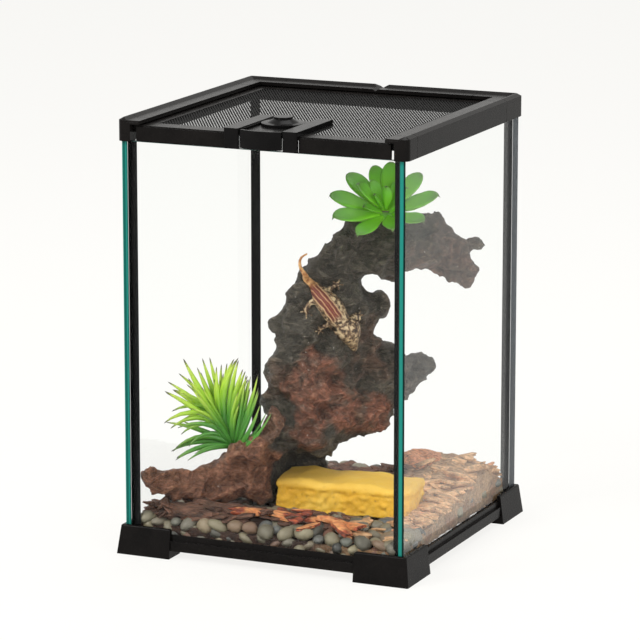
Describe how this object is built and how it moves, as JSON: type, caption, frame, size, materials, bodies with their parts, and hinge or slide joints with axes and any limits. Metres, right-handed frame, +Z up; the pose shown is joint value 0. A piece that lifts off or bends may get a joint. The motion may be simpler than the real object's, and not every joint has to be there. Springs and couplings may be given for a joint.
{
  "type": "reptile terrarium",
  "caption": "Small glass reptile terrarium with black corner feet, a sliding screen lid with a push flap and feeding hatch, and driftwood, plants and gravel inside.",
  "frame": {"origin": "middle of the footprint, on the surface the feet stand on", "axes": "+Z up, -Y the front, where the lid slides out, +X the right side seen from the front"},
  "size_m": [0.2134, 0.2134, 0.3],
  "materials": {
    "glass_clear": "clear float glass with blue-green edges",
    "silicone_black": "satin sealant",
    "frame_black": "fine-grained black moulding",
    "mesh_black": "black coated wire net",
    "driftwood": "rough weathered root wood, grey-brown above and red-brown below",
    "leaf_green": "soft waxy plastic leaf, brown at the edge",
    "grass_green": "yellow-green plastic blades with darker tips",
    "gecko_skin": "matt striped skin, rust and cream",
    "resin_yellow": "rough yellow cast stone",
    "pebble": "water-worn pebbles, grey-green and brown",
    "bark": "broken bark, red-brown and pinkish brown"
  },
  "bodies": {
    "tank": {"glass_front": "glass_clear", "glass_back": "glass_clear", "glass_left": "glass_clear", "glass_right": "glass_clear", "glass_bottom": "glass_clear", "silicone_corner_beads": "silicone_black", "silicone_base_bead": "silicone_black", "base_rail_front": "frame_black", "base_rail_back": "frame_black", "base_rail_left": "frame_black", "base_rail_right": "frame_black", "foot_front_left": "frame_black", "foot_front_right": "frame_black", "foot_back_left": "frame_black", "foot_back_right": "frame_black", "top_rail_left": "frame_black", "top_rail_right": "frame_black", "top_rail_back": "frame_black", "top_cap_front_left": "frame_black", "top_cap_front_right": "frame_black", "top_cap_back_left": "frame_black", "top_cap_back_right": "frame_black", "driftwood": "driftwood", "gecko_figure": "gecko_skin", "rosette_succulent": "leaf_green", "grass_plant": "grass_green", "rock_ledge": "resin_yellow", "gravel_bed": "pebble", "bark_chips": "bark"},
    "lid": {"lid_frame": "frame_black", "screen_mesh": "mesh_black", "latch_housing": "frame_black"},
    "hatch": {"hatch_door": "frame_black", "hatch_knob": "frame_black"},
    "flap": {"latch_flap": "frame_black"}
  },
  "joints": [
    {"name": "lid_slide", "type": "slide", "parent": "tank", "child": "lid", "axis": [0, -1, 0], "range_m": [0, 0.18]},
    {"name": "hatch_slide", "type": "slide", "parent": "lid", "child": "hatch", "axis": [0, 1, 0], "range_m": [0, 0.038]},
    {"name": "flap_press", "type": "slide", "parent": "lid", "child": "flap", "axis": [0, 1, 0], "range_m": [0, 0.0025], "stiffness_N_per_m": 500}
  ]
}
